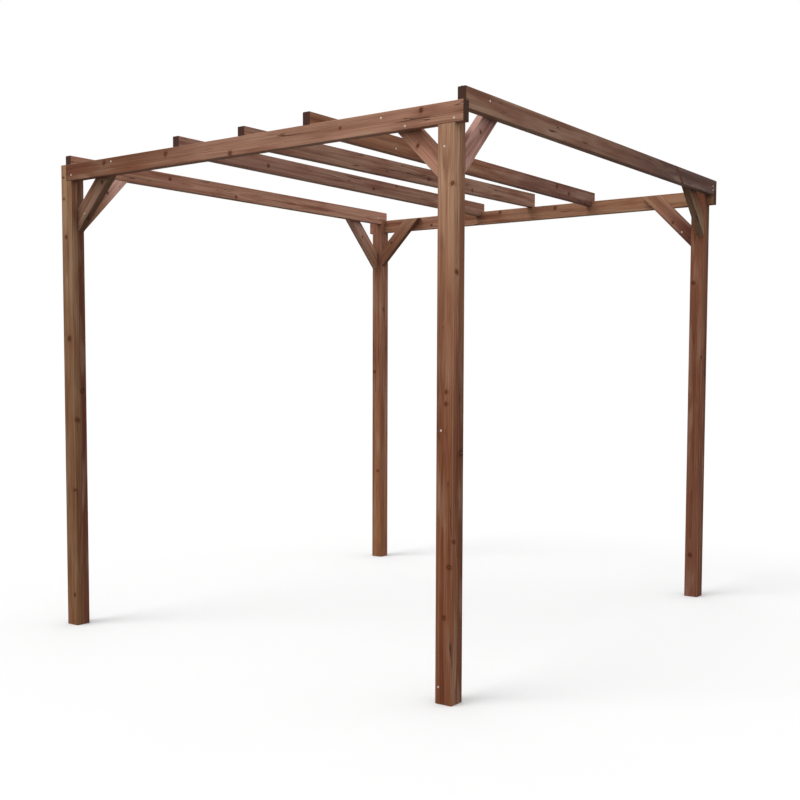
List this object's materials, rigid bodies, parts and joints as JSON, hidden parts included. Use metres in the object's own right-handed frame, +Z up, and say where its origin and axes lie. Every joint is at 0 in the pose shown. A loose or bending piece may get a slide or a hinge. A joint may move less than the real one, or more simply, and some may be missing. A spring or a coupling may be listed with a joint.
{
  "type": "wooden pergola",
  "caption": "Open timber pergola frame: square posts with rebated tops carry headers, notched rafters and sloping knee braces, for shade plants or a canopy.",
  "frame": {"origin": "middle of the whole plan, on the ground under the post feet", "axes": "+Z up, -Y towards the front header, +X along the headers to the right rafter"},
  "size_m": [2.845, 3.1, 2.8035],
  "materials": {
    "treated_timber": "planed softwood, brown pressure-treated, matt and lightly weathered",
    "zinc_screws": "bright zinc-plated screw heads"
  },
  "bodies": {
    "root": {"front_left_post": "treated_timber", "front_right_post": "treated_timber", "back_left_post": "treated_timber", "back_right_post": "treated_timber", "front_header": "treated_timber", "back_header": "treated_timber", "left_rafter": "treated_timber", "second_rafter": "treated_timber", "middle_rafter": "treated_timber", "fourth_rafter": "treated_timber", "right_rafter": "treated_timber", "front_left_header_brace": "treated_timber", "front_right_header_brace": "treated_timber", "back_left_header_brace": "treated_timber", "back_right_header_brace": "treated_timber", "front_left_rafter_brace": "treated_timber", "front_right_rafter_brace": "treated_timber", "back_left_rafter_brace": "treated_timber", "back_right_rafter_brace": "treated_timber"}
  },
  "joints": []
}
